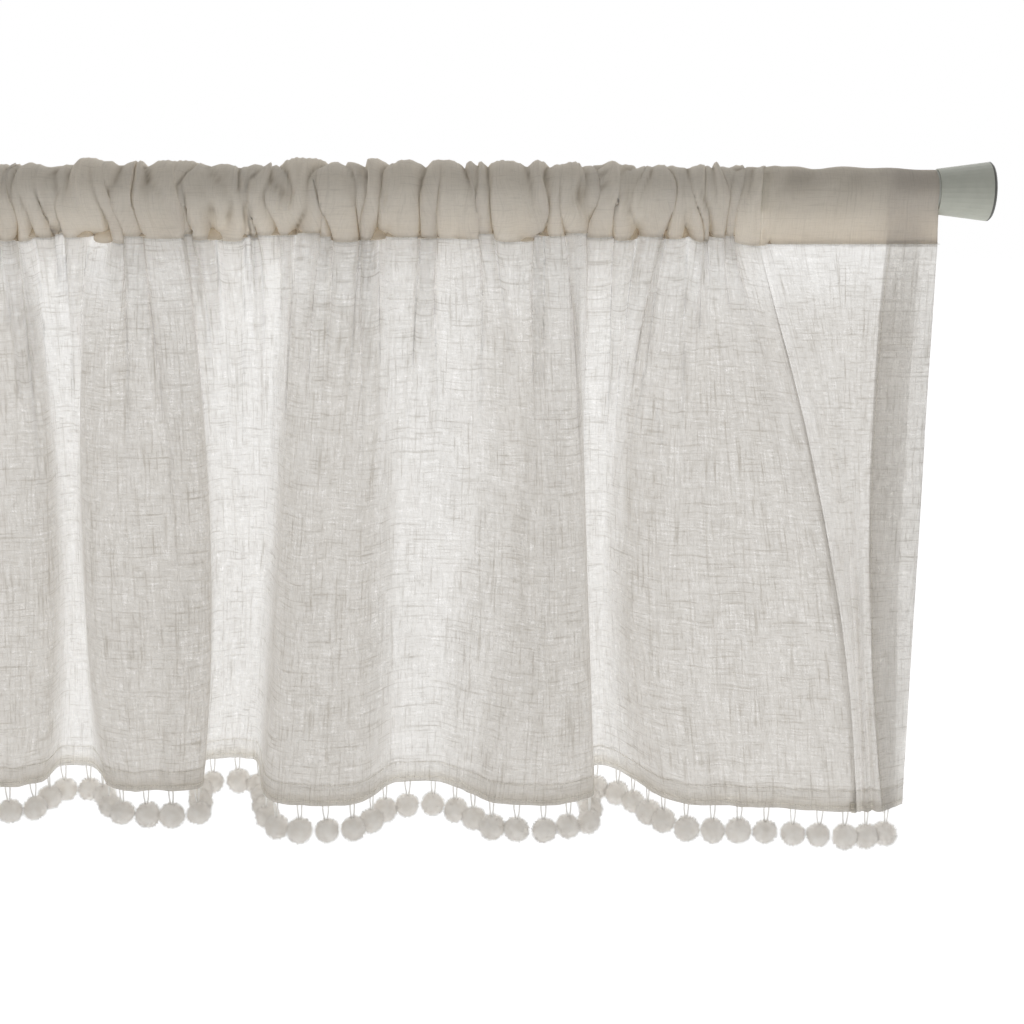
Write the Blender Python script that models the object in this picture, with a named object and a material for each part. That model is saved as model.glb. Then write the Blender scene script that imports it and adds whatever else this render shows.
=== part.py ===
"""A cafe curtain gathered on a tension rod: one linen panel with a rod pocket and hems, a pompom trim,
a tube and two flared end caps.

The origin is on the rod's axis, midway along it. +X runs along the rod to the right as seen from the room,
-Y points into the room, and +Z is up. All sizes are in metres.
"""

import math
from typing import NamedTuple

import bmesh
import bpy
import numpy as np
from mathutils import Matrix, Vector

# Rod and end caps
ROD_RADIUS = 0.012
ROD_WALL = 0.001
CAP_SMALL_RADIUS = 0.0135
CAP_FOOT_RADIUS = 0.0175
CAP_LENGTH = 0.032
CAP_SOCKET_DEPTH = 0.020
CAP_EDGE = 0.001
CAP_START = 0.429
FIT_GAP = 0.0003
ROUND_STEPS = 32
MERGE_DISTANCE = 1e-6
SHARP_ANGLE = math.radians(35)

# Cloth
CLOTH_THICKNESS = 0.0015
ROD_CLEARANCE = 0.0023
GATHER_HEIGHT = 0.0040
GATHER_DEPTH = 0.0032
COLUMNS_PER_GATHER = 4
GATHER_SIZE = 0.72
GATHER_SPREAD = 0.28
GATHER_BEATS = (1.7, 0.61)
GATHERS_STILL_AT = 0.425
GATHERS_FULL_AT = 0.397
STITCH_DROP_GATHERED = 0.026
STITCH_DROP_FLAT = 0.0315
HEM_DROP_GATHERED = 0.385
HEM_DROP_FLAT = 0.3905
FLAT_FROM = 0.300
FLAT_TO = 0.335
COLUMNS = 100
POCKET_STEPS = 6
POCKET_LIFT_AT_ENDS = 0.6
POCKET_FACET_STEPS = 9
BODY_STEPS = (0.0, 0.16, 0.36, 0.6, 0.85, 1.0)
SPLINE_TENSION = 0.72

# Pompom trim
TAPE_HEIGHT = 0.007
TAPE_THICKNESS = 0.001
TAPE_GAP = 0.0006
POMPOM_RADIUS = 0.0080
POMPOM_PITCH = 0.0172
POMPOM_DROP = 0.018
LOOP_RADIUS = 0.0008
LOOP_SIDES = 3
BALL_SEGMENTS = 6
BALL_RINGS = 4

# Finishes, as (red, green, blue) and roughness
LINEN = ((0.80, 0.77, 0.71), 0.9)
POMPOM_YARN = ((0.88, 0.86, 0.82), 0.95)
ROD_PAINT = ((0.78, 0.78, 0.76), 0.35)
CAP_MOULDING = ((0.72, 0.74, 0.70), 0.5)


class FoldLine(NamedTuple):
    """One line along a fold, from the heading to the hem: where it lies along the rod at the heading, at
    mid-height and at the hem, and how far it stands behind (+) or in front of (-) the rod's axis."""

    name: str
    head_x: float
    mid_x: float
    hem_x: float
    mid_y: float
    hem_y: float


FOLD_LINES = (
    FoldLine("left edge", -0.4268, -0.4275, -0.428, -0.006, -0.012),
    FoldLine("left hem line", -0.399, -0.400, -0.408, -0.012, -0.024),
    FoldLine("fold a, left", -0.378, -0.388, -0.390, -0.018, -0.033),
    FoldLine("fold a, right", -0.348, -0.350, -0.345, -0.024, -0.034),
    FoldLine("fold a, turn", -0.330, -0.328, -0.330, -0.010, -0.016),
    FoldLine("valley a, left", -0.322, -0.322, -0.331, 0.018, 0.028),
    FoldLine("valley a, right", -0.298, -0.302, -0.304, 0.022, 0.033),
    FoldLine("fold b, turn", -0.284, -0.292, -0.292, -0.002, -0.004),
    FoldLine("fold b, left", -0.270, -0.276, -0.280, -0.018, -0.022),
    FoldLine("fold b, right", -0.240, -0.234, -0.238, -0.020, -0.019),
    FoldLine("valley b, left", -0.226, -0.226, -0.228, 0.020, 0.030),
    FoldLine("valley b, right", -0.200, -0.200, -0.204, 0.022, 0.033),
    FoldLine("fold c, left", -0.180, -0.186, -0.190, -0.006, -0.004),
    FoldLine("fold c, crown", -0.150, -0.150, -0.160, -0.012, -0.004),
    FoldLine("fold c, turn", -0.122, -0.118, -0.137, -0.004, 0.003),
    FoldLine("valley c, left", -0.116, -0.115, -0.131, 0.020, 0.030),
    FoldLine("valley c, right", -0.086, -0.104, -0.108, 0.022, 0.028),
    FoldLine("fold d, turn", -0.077, -0.096, -0.092, 0.000, -0.001),
    FoldLine("fold d, left", -0.066, -0.080, -0.078, -0.013, -0.009),
    FoldLine("fold d, right", -0.040, -0.030, -0.042, -0.014, -0.010),
    FoldLine("fold d, edge", -0.028, -0.016, -0.029, -0.006, -0.001),
    FoldLine("valley d, left", -0.022, -0.018, -0.034, 0.025, 0.038),
    FoldLine("valley d, right", 0.030, 0.016, -0.002, 0.028, 0.041),
    FoldLine("fold e, turn", 0.047, 0.031, 0.013, -0.004, -0.014),
    FoldLine("fold e, left", 0.058, 0.044, 0.028, -0.019, -0.031),
    FoldLine("fold e, right", 0.092, 0.080, 0.072, -0.021, -0.031),
    FoldLine("fold e, edge", 0.104, 0.092, 0.085, -0.012, -0.017),
    FoldLine("valley e, left", 0.112, 0.103, 0.098, 0.001, 0.003),
    FoldLine("valley e, right", 0.140, 0.134, 0.126, 0.002, 0.005),
    FoldLine("fold f, left", 0.166, 0.174, 0.160, -0.014, -0.025),
    FoldLine("fold f, crown", 0.190, 0.198, 0.196, -0.023, -0.033),
    FoldLine("fold f, edge", 0.211, 0.220, 0.227, -0.014, -0.018),
    FoldLine("valley f, left", 0.218, 0.222, 0.230, 0.018, 0.028),
    FoldLine("valley f, right", 0.246, 0.236, 0.246, 0.019, 0.025),
    FoldLine("fold g, turn", 0.266, 0.252, 0.268, -0.006, -0.014),
    FoldLine("fold g, left", 0.282, 0.276, 0.290, -0.020, -0.030),
    FoldLine("fold g, right", 0.304, 0.332, 0.350, -0.027, -0.036),
    FoldLine("crease, front", 0.321, 0.368, 0.393, -0.022, -0.036),
    FoldLine("crease, back", 0.335, 0.378, 0.400, -0.010, -0.030),
    FoldLine("right hem line", 0.397, 0.398, 0.413, -0.010, -0.030),
    FoldLine("right edge", 0.4268, 0.428, 0.428, -0.006, -0.020),
)


def smooth_between(value, low, high):
    """0 below low, 1 above high, and an even S between them."""
    share = np.clip((np.asarray(value, float) - low) / (high - low), 0, 1)
    return share * share * (3 - 2 * share)


def along_lines(heights, columns):
    """Values at the fold lines carried on to every column between them, on a cardinal spline."""
    values = np.asarray(heights, float)
    slopes = np.gradient(values) * SPLINE_TENSION
    start = np.minimum(columns.astype(int), len(values) - 2)
    t = columns - start
    a, b = values[start], values[start + 1]
    c, d = slopes[start], slopes[start + 1]
    return (
        a * (2 * t**3 - 3 * t**2 + 1)
        + b * (3 * t**2 - 2 * t**3)
        + c * (t**3 - 2 * t**2 + t)
        + d * (t**3 - t**2)
    )


class Cloth:
    """The hanging shape of the panel's middle surface, column by column."""

    def __init__(self):
        self.columns = np.linspace(0, len(FOLD_LINES) - 1, COLUMNS + 1)
        self.head_x = self.carried("head_x")
        self.mid_x = self.carried("mid_x")
        self.hem_x = self.carried("hem_x")
        self.mid_y = self.carried("mid_y")
        self.hem_y = self.carried("hem_y")
        self.flat = smooth_between(self.head_x, FLAT_FROM, FLAT_TO)
        self.stitch_z = -self.between_flat(STITCH_DROP_GATHERED, STITCH_DROP_FLAT)
        self.hem_z = -self.between_flat(HEM_DROP_GATHERED, HEM_DROP_FLAT)
        self.gather = self.gathers()

    def carried(self, field):
        return along_lines([getattr(line, field) for line in FOLD_LINES], self.columns)

    def between_flat(self, gathered, flat):
        return gathered + (flat - gathered) * self.flat

    def gathers(self):
        """The ripple of the gathers along the heading, from -1 to 1, uneven in size and still at the ends."""
        turn = 2 * math.pi * np.arange(COLUMNS + 1) / COLUMNS_PER_GATHER
        first, second = (np.sin(beat * self.columns) for beat in GATHER_BEATS)
        size = GATHER_SIZE + GATHER_SPREAD * first * second
        ends = 1 - smooth_between(np.abs(self.head_x), GATHERS_FULL_AT, GATHERS_STILL_AT)
        return np.sin(turn) * size * (1 - self.flat) * ends

    def body_row(self, share):
        """The row at this share of the way from the pocket's stitch line down to the hem."""
        near, middle, far = (
            2 * (share - 0.5) * (share - 1),
            4 * share * (1 - share),
            2 * share * (share - 0.5),
        )
        x = near * self.head_x + middle * self.mid_x + far * self.hem_x
        y = middle * self.mid_y + far * self.hem_y + GATHER_DEPTH * self.gather * (1 - share) ** 3
        z = self.stitch_z + (self.hem_z - self.stitch_z) * share
        return np.column_stack((x, y, z))

    def pocket_row(self, share):
        """The row at this share of the arc over the rod. The arc starts where the pocket's front leaves the
        straight run up from the stitch line, and ends where its back joins the run down to it."""
        clear = ROD_RADIUS + ROD_CLEARANCE + CLOTH_THICKNESS / 2
        radius = clear / math.cos(math.pi / POCKET_FACET_STEPS)
        start = np.arccos(radius / -self.stitch_z)
        angle = start + 2 * (math.pi - start) * share
        over = POCKET_LIFT_AT_ENDS + (1 - POCKET_LIFT_AT_ENDS) * math.sin(share * math.pi)
        lift = GATHER_HEIGHT * (0.5 + 0.5 * self.gather) * (1 - self.flat) * over
        y = -(radius + lift) * np.sin(angle)
        z = -(radius + lift) * np.cos(angle)
        return np.column_stack((self.head_x, y, z))


def new_object(name, mesh, material):
    """Puts a mesh into the scene as a named object with its own material."""
    obj = bpy.data.objects.new(name, mesh)
    obj.data.materials.append(material)
    bpy.context.scene.collection.objects.link(obj)
    return obj


def finish_material(name, finish):
    """A Principled material with a flat colour."""
    colour, roughness = finish
    material = bpy.data.materials.new(name)
    material.use_nodes = True
    surface = material.node_tree.nodes["Principled BSDF"]
    surface.inputs["Base Color"].default_value = (*colour, 1)
    surface.inputs["Roughness"].default_value = roughness
    surface.inputs["Metallic"].default_value = 0.0
    return material


def grid_faces(bm, rows):
    """Quads between neighbouring rows of vertices."""
    for upper, lower in zip(rows, rows[1:]):
        for i in range(len(upper) - 1):
            bm.faces.new((upper[i], upper[i + 1], lower[i + 1], lower[i]))


def thicken(obj, thickness):
    """Gives an open middle surface its thickness, half to each side."""
    solidify = obj.modifiers.new("thickness", "SOLIDIFY")
    solidify.solidify_mode = "NON_MANIFOLD"
    solidify.nonmanifold_thickness_mode = "EVEN"
    solidify.nonmanifold_boundary_mode = "NONE"
    solidify.thickness = thickness
    solidify.offset = 0


def curtain_panel(cloth, material):
    """The linen panel: its body, and the pocket that runs over the rod and back to the stitch line."""
    bm = bmesh.new()
    rows = [[bm.verts.new(p) for p in cloth.body_row(share)] for share in reversed(BODY_STEPS)]
    stitch = rows[-1]
    for step in range(POCKET_STEPS + 1):
        rows.append([bm.verts.new(p) for p in cloth.pocket_row(step / POCKET_STEPS)])
    rows.append(stitch)
    grid_faces(bm, rows)
    mesh = bpy.data.meshes.new("curtain_panel")
    bm.to_mesh(mesh)
    bm.free()
    obj = new_object("curtain_panel", mesh, material)
    thicken(obj, CLOTH_THICKNESS)
    return obj


def behind(row, distance):
    """A row of points moved square to its own run, away from the room, with mitred corners."""
    run = np.diff(row[:, :2], axis=0)
    run /= np.linalg.norm(run, axis=1)[:, None]
    square = np.column_stack((-run[:, 1], run[:, 0]))
    before, after = np.vstack((square[:1], square)), np.vstack((square, square[-1:]))
    mitre = (before + after) / (1 + (before * after).sum(axis=1))[:, None]
    moved = row.copy()
    moved[:, :2] += mitre * distance
    return moved


def evenly_along(row, pitch):
    """Points at a steady pitch along a row, centred on its length."""
    steps = np.linalg.norm(np.diff(row, axis=0), axis=1)
    run = np.concatenate(([0], np.cumsum(steps)))
    count = int(run[-1] // pitch)
    places = (run[-1] - count * pitch) / 2 + pitch * (np.arange(count) + 0.5)
    return np.column_stack([np.interp(places, run, row[:, axis]) for axis in range(3)])


def pompom_trim(cloth, material):
    """The trim as one comb: a heading tape behind the hem, and a ball on a short loop at every pitch."""
    offset = CLOTH_THICKNESS / 2 + TAPE_GAP + TAPE_THICKNESS / 2
    low = behind(cloth.body_row(1.0), offset)
    high = behind(cloth.body_row(1.0 - TAPE_HEIGHT / HEM_DROP_GATHERED), offset)
    bm = bmesh.new()
    grid_faces(bm, [[bm.verts.new(p) for p in row] for row in (low, high)])
    mesh = bpy.data.meshes.new("pompom_trim")
    bm.to_mesh(mesh)
    bm.free()
    tape = new_object("pompom_trim", mesh, material)
    thicken(tape, TAPE_THICKNESS)

    balls = bmesh.new()
    top = TAPE_HEIGHT / 3
    foot = POMPOM_RADIUS / 2 - POMPOM_DROP
    for place in evenly_along(low, POMPOM_PITCH):
        centre = Matrix.Translation(Vector(place) - Vector((0, 0, POMPOM_DROP)))
        bmesh.ops.create_uvsphere(
            balls,
            u_segments=BALL_SEGMENTS,
            v_segments=BALL_RINGS,
            radius=POMPOM_RADIUS,
            matrix=centre,
        )
        bmesh.ops.create_cone(
            balls,
            cap_ends=True,
            segments=LOOP_SIDES,
            radius1=LOOP_RADIUS,
            radius2=LOOP_RADIUS,
            depth=top - foot,
            matrix=Matrix.Translation(Vector(place) + Vector((0, 0, (top + foot) / 2))),
        )
    mesh = bpy.data.meshes.new("pompoms")
    balls.to_mesh(mesh)
    balls.free()
    pompoms = new_object("pompoms", mesh, material)
    pompoms.hide_render = True
    pompoms.display_type = "WIRE"
    union = tape.modifiers.new("pompoms", "BOOLEAN")
    union.operation = "UNION"
    union.object = pompoms
    union.use_self = True
    return tape


def turned(name, profile, material):
    """A closed profile of (radius, along) points turned about the rod's axis."""
    bm = bmesh.new()
    ring = [bm.verts.new((along, 0, radius)) for radius, along in profile]
    edges = [bm.edges.new((a, b)) for a, b in zip(ring, ring[1:] + ring[:1])]
    bmesh.ops.spin(
        bm,
        geom=ring + edges,
        cent=(0, 0, 0),
        axis=(1, 0, 0),
        angle=2 * math.pi,
        steps=ROUND_STEPS,
        use_merge=True,
    )
    bmesh.ops.remove_doubles(bm, verts=bm.verts, dist=MERGE_DISTANCE)
    bmesh.ops.recalc_face_normals(bm, faces=bm.faces)
    mesh = bpy.data.meshes.new(name)
    bm.to_mesh(mesh)
    bm.free()
    obj = new_object(name, mesh, material)
    mesh.shade_smooth()
    mesh.set_sharp_from_angle(angle=SHARP_ANGLE)
    return obj


def rod_tube(material):
    """The tube, which runs into the socket of each cap."""
    half = CAP_START + CAP_SOCKET_DEPTH - FIT_GAP
    inner = ROD_RADIUS - ROD_WALL
    profile = ((ROD_RADIUS, -half), (ROD_RADIUS, half), (inner, half), (inner, -half))
    return turned("rod_tube", profile, material)


def end_cap(name, side, material):
    """A flared cap with a socket for the tube and a flat foot that presses on the wall."""
    foot = CAP_START + CAP_LENGTH
    bottom = CAP_START + CAP_SOCKET_DEPTH
    profile = (
        (0, foot),
        (CAP_FOOT_RADIUS - CAP_EDGE, foot),
        (CAP_FOOT_RADIUS, foot - CAP_EDGE),
        (CAP_SMALL_RADIUS, CAP_START),
        (ROD_RADIUS + FIT_GAP, CAP_START),
        (ROD_RADIUS + FIT_GAP, bottom),
        (0, bottom),
    )
    return turned(name, tuple((radius, side * along) for radius, along in profile), material)


def main():
    for obj in list(bpy.data.objects):
        bpy.data.objects.remove(obj, do_unlink=True)
    linen = finish_material("slub_linen", LINEN)
    yarn = finish_material("pompom_yarn", POMPOM_YARN)
    paint = finish_material("rod_paint", ROD_PAINT)
    moulding = finish_material("cap_moulding", CAP_MOULDING)
    cloth = Cloth()
    curtain_panel(cloth, linen)
    pompom_trim(cloth, yarn)
    rod_tube(paint)
    end_cap("end_cap_right", 1, moulding)
    end_cap("end_cap_left", -1, moulding)


main()
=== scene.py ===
"""A cafe curtain of slub linen, gathered on a tension rod and finished with a pompom trim.

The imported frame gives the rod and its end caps. The linen, its hems and stitching, the trim's tape, loops and
pompoms are made here. The origin is on the rod's axis, +X runs along the rod, -Y into the room and +Z up.
"""

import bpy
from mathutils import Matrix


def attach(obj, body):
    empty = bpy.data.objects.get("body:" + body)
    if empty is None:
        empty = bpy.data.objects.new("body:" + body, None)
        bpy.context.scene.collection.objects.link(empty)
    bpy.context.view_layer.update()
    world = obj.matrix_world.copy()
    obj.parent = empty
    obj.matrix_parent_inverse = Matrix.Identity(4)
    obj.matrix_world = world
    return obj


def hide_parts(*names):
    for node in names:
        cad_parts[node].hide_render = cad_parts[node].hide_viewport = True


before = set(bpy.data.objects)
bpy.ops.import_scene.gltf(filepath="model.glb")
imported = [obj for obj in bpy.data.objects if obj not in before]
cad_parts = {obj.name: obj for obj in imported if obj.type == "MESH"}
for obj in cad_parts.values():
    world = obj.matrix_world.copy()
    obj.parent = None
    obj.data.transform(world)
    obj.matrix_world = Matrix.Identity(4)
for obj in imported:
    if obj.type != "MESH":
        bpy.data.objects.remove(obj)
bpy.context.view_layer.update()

import logging
import math
from collections.abc import Sequence
from dataclasses import dataclass, field
from enum import Enum
from typing import Any, NamedTuple

import bpy
import numpy as np

LOG = logging.getLogger("cafe_curtain")
MM = 0.001
MIDDLE = (0.35, 0.65)
BUMP_DEPTH = 0.0003
Colour = tuple[float, float, float]
Place = tuple[float, float, float]
Span = tuple[float, float]


class Slot(Enum):
    """The record's material slots."""

    LINEN = "slub_linen"
    YARN = "pompom_yarn"
    PAINT = "rod_paint"
    MOULDING = "cap_moulding"


class FoldLine(NamedTuple):
    """One line down a fold.

    The x values are where it lies along the rod at heading, mid-height and hem. The y values are how far it
    stands behind (+) or in front of (-) the rod's axis at mid-height and hem. Its shade is its share of a front
    fold's shading, from 0 in an open valley to 1.
    """

    name: str
    head_x: float
    mid_x: float
    hem_x: float
    mid_y: float
    hem_y: float
    shade: float


FOLD_LINES = (
    FoldLine("left edge", -0.4278, -0.4290, -0.4295, -0.006, -0.012, 0.00),
    FoldLine("left hem line", -0.399, -0.400, -0.408, -0.012, -0.024, 0.20),
    FoldLine("fold a left", -0.378, -0.388, -0.390, -0.018, -0.033, 1.00),
    FoldLine("fold a right", -0.348, -0.350, -0.345, -0.024, -0.034, 1.00),
    FoldLine("fold a turn", -0.330, -0.328, -0.330, -0.010, -0.016, 0.90),
    FoldLine("valley a left", -0.322, -0.322, -0.331, 0.018, 0.028, 0.00),
    FoldLine("valley a right", -0.298, -0.302, -0.304, 0.022, 0.033, 0.00),
    FoldLine("fold b turn", -0.284, -0.292, -0.292, -0.002, -0.004, 0.90),
    FoldLine("fold b left", -0.270, -0.276, -0.280, -0.018, -0.022, 1.00),
    FoldLine("fold b right", -0.240, -0.234, -0.238, -0.020, -0.019, 1.00),
    FoldLine("valley b left", -0.226, -0.226, -0.228, 0.020, 0.030, 0.00),
    FoldLine("valley b right", -0.200, -0.200, -0.204, 0.022, 0.033, 0.00),
    FoldLine("fold c left", -0.180, -0.186, -0.190, -0.006, -0.004, 0.90),
    FoldLine("fold c crown", -0.150, -0.150, -0.160, -0.012, -0.004, 0.80),
    FoldLine("fold c turn", -0.122, -0.118, -0.137, -0.004, 0.003, 0.90),
    FoldLine("valley c left", -0.116, -0.115, -0.131, 0.020, 0.030, 0.00),
    FoldLine("valley c right", -0.086, -0.104, -0.108, 0.022, 0.028, 0.00),
    FoldLine("fold d turn", -0.077, -0.096, -0.092, 0.000, -0.001, 0.90),
    FoldLine("fold d left", -0.066, -0.080, -0.078, -0.013, -0.009, 1.00),
    FoldLine("fold d right", -0.040, -0.030, -0.042, -0.014, -0.010, 0.85),
    FoldLine("fold d edge", -0.028, -0.016, -0.029, -0.006, -0.001, 1.00),
    FoldLine("valley d left", -0.022, -0.018, -0.034, 0.025, 0.038, 0.00),
    FoldLine("valley d right", 0.030, 0.016, -0.002, 0.028, 0.041, 0.00),
    FoldLine("fold e turn", 0.047, 0.031, 0.013, -0.004, -0.014, 0.95),
    FoldLine("fold e left", 0.058, 0.044, 0.028, -0.019, -0.031, 1.00),
    FoldLine("fold e right", 0.092, 0.080, 0.072, -0.021, -0.031, 0.80),
    FoldLine("fold e edge", 0.104, 0.092, 0.085, -0.012, -0.017, 0.55),
    FoldLine("valley e left", 0.112, 0.103, 0.098, 0.001, 0.003, 0.40),
    FoldLine("valley e right", 0.140, 0.134, 0.126, 0.002, 0.005, 0.40),
    FoldLine("fold f left", 0.166, 0.174, 0.160, -0.014, -0.025, 0.75),
    FoldLine("fold f crown", 0.190, 0.198, 0.196, -0.023, -0.033, 1.00),
    FoldLine("fold f edge", 0.211, 0.220, 0.227, -0.014, -0.018, 1.00),
    FoldLine("valley f left", 0.218, 0.222, 0.230, 0.018, 0.028, 0.10),
    FoldLine("valley f right", 0.246, 0.236, 0.246, 0.019, 0.025, 0.10),
    FoldLine("fold g turn", 0.266, 0.252, 0.268, -0.006, -0.014, 0.95),
    FoldLine("fold g left", 0.282, 0.276, 0.290, -0.020, -0.030, 1.00),
    FoldLine("fold g right", 0.304, 0.332, 0.350, -0.027, -0.036, 0.95),
    FoldLine("pleat edge", 0.321, 0.3695, 0.3945, -0.0225, -0.0360, 0.90),
    FoldLine("pleat tuck", 0.322, 0.3680, 0.3935, -0.0200, -0.0335, 0.75),
    FoldLine("pleat out", 0.334, 0.3780, 0.3990, -0.0120, -0.0290, 0.68),
    FoldLine("right hem line", 0.397, 0.398, 0.413, -0.010, -0.029, 0.66),
    FoldLine("right edge", 0.4278, 0.4310, 0.4290, -0.006, -0.018, 0.25),
)


def eased(value: Any, low: float, high: float) -> np.ndarray:
    """Gives 0 below low, 1 above high and an even S between them.

    Args:
        value: the numbers to ease.
        low: where the S starts.
        high: where it ends.

    Returns:
        An array of shares from 0 to 1.
    """
    share = np.clip((np.asarray(value, float) - low) / (high - low), 0, 1)
    return share * share * (3 - 2 * share)


def through_lines(values: Sequence[float], places: np.ndarray, tension: float) -> np.ndarray:
    """Carries values at the fold lines on to the places between them, on a cardinal spline.

    Args:
        values: one number for each fold line.
        places: where to read, counted in fold lines.
        tension: how far each line's slope is followed, from 0 to 1.

    Returns:
        The value at each place.
    """
    known = np.asarray(values, float)
    slopes = np.gradient(known) * tension
    start = np.minimum(places.astype(int), len(known) - 2)
    t = places - start
    a, b = known[start], known[start + 1]
    c, d = slopes[start], slopes[start + 1]
    rise = 3 * t**2 - 2 * t**3
    return a + (b - a) * rise + c * (t**3 - 2 * t**2 + t) + d * (t**3 - t**2)


def waves(seed: int, along: np.ndarray, across: np.ndarray, lengths: Span, count: int = 7) -> np.ndarray:
    """A smooth, random, rolling height made of a few sine waves.

    Args:
        seed: fixes the draw.
        along: first coordinate, in metres.
        across: second coordinate, in metres.
        lengths: the typical wave length along each coordinate, in metres.
        count: how many waves are summed.

    Returns:
        Heights of about -1 to 1.
    """
    draw = np.random.default_rng(seed)
    total = np.zeros(np.broadcast(along, across).shape)
    for _ in range(count):
        turn = 2 * math.pi * draw.uniform(0.5, 1.6, 2) / np.asarray(lengths) * draw.choice([-1, 1], 2)
        total = total + np.sin(turn[0] * along + turn[1] * across + draw.uniform(0, 2 * math.pi))
    return total / math.sqrt(count)


@dataclass(frozen=True)
class Gathers:
    """The small folds where the pocket is pushed together on the rod."""

    seed: int = 7
    pitch: float = 0.0125
    crowded_pitch: float = 0.0088
    crowd_from: float = 0.252
    crowd_to: float = 0.322
    flat_from: float = 0.312
    flat_to: float = 0.338
    spread: Span = (0.4, 1.75)
    depth: float = 0.0165
    relief: float = 0.0030
    lean: float = 0.0036
    bulge: float = 0.17
    droop: float = 0.0042
    crimp_pitch: float = 0.0052
    crimp: float = 0.0006
    fade: Span = (0.14, 0.72)
    fade_power: float = 1.6
    fade_floor: float = 0.35
    start_x: float = -0.4278
    start_taper: float = 0.030
    pillow: float = 0.78
    size_spread: Span = (0.65, 1.3)
    size_limits: Span = (0.4, 1.35)
    ruffle_spread: Span = (0.35, 1.35)
    droop_spread: Span = (-0.6, 1.0)

    def creases(self) -> np.ndarray:
        """Where the creases between the gathers lie along the rod."""
        draw = np.random.default_rng(self.seed)
        places = [self.start_x]
        while places[-1] < self.flat_to:
            crowded = self.crowd_from < places[-1] < self.crowd_to
            pitch = self.crowded_pitch if crowded else self.pitch
            places.append(places[-1] + pitch * draw.uniform(*self.spread))
        return np.array(places)

    def read(self, x: np.ndarray) -> dict[str, np.ndarray]:
        """Reads the gathers at points along the rod.

        Args:
            x: places along the rod.

        Returns:
            The pillow height and the crest (0 in a crease, 1 at the top), the bulge sideways, and each gather's
            own size, ruffle, lean, fade and droop.
        """
        creases = self.creases()
        draw = np.random.default_rng(self.seed + 1)
        which = np.clip(np.searchsorted(creases, x) - 1, 0, len(creases) - 2)
        wide = np.diff(creases)
        t = np.clip((x - creases[which]) / wide[which], 0, 1)
        size = (wide / self.pitch) ** 0.5 * draw.uniform(*self.size_spread, len(wide))
        size = np.clip(size, *self.size_limits)
        ruffle = size * draw.uniform(*self.ruffle_spread, len(wide))
        lean = draw.uniform(-1, 1, len(wide))
        fade = draw.uniform(*self.fade, len(wide))
        return {
            "pillow": (4 * t * (1 - t)) ** self.pillow,
            "crest": 4 * t * (1 - t),
            "size": size[which],
            "ruffle": ruffle[which],
            "lean": lean[which],
            "fade": fade[which],
            "bulge": np.sin(2 * math.pi * (t - 0.5)) * wide[which] * self.bulge,
            "droop": draw.uniform(*self.droop_spread, len(wide))[which],
        }

    def sideways(self, gather: dict[str, np.ndarray]) -> np.ndarray:
        """How far each gather's flanks lean and swell over the creases beside it."""
        return self.lean * gather["lean"] * gather["pillow"] + gather["bulge"] * gather["size"]

    def left_at(self, gather: dict[str, np.ndarray], share: float) -> np.ndarray:
        """How much of each gather is left this share of the way down the body."""
        left = np.clip(1 - share / gather["fade"], 0, 1)
        return left**self.fade_power * (self.fade_floor + (1 - self.fade_floor) * left)

    def held(self, x: np.ndarray) -> np.ndarray:
        """How strongly the cloth is gathered at x: 1 where it is, 0 in the smooth stretch at the right."""
        left_end = eased(x, self.start_x, self.start_x + self.start_taper)
        return (1 - eased(x, self.flat_from, self.flat_to)) * left_end


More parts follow.
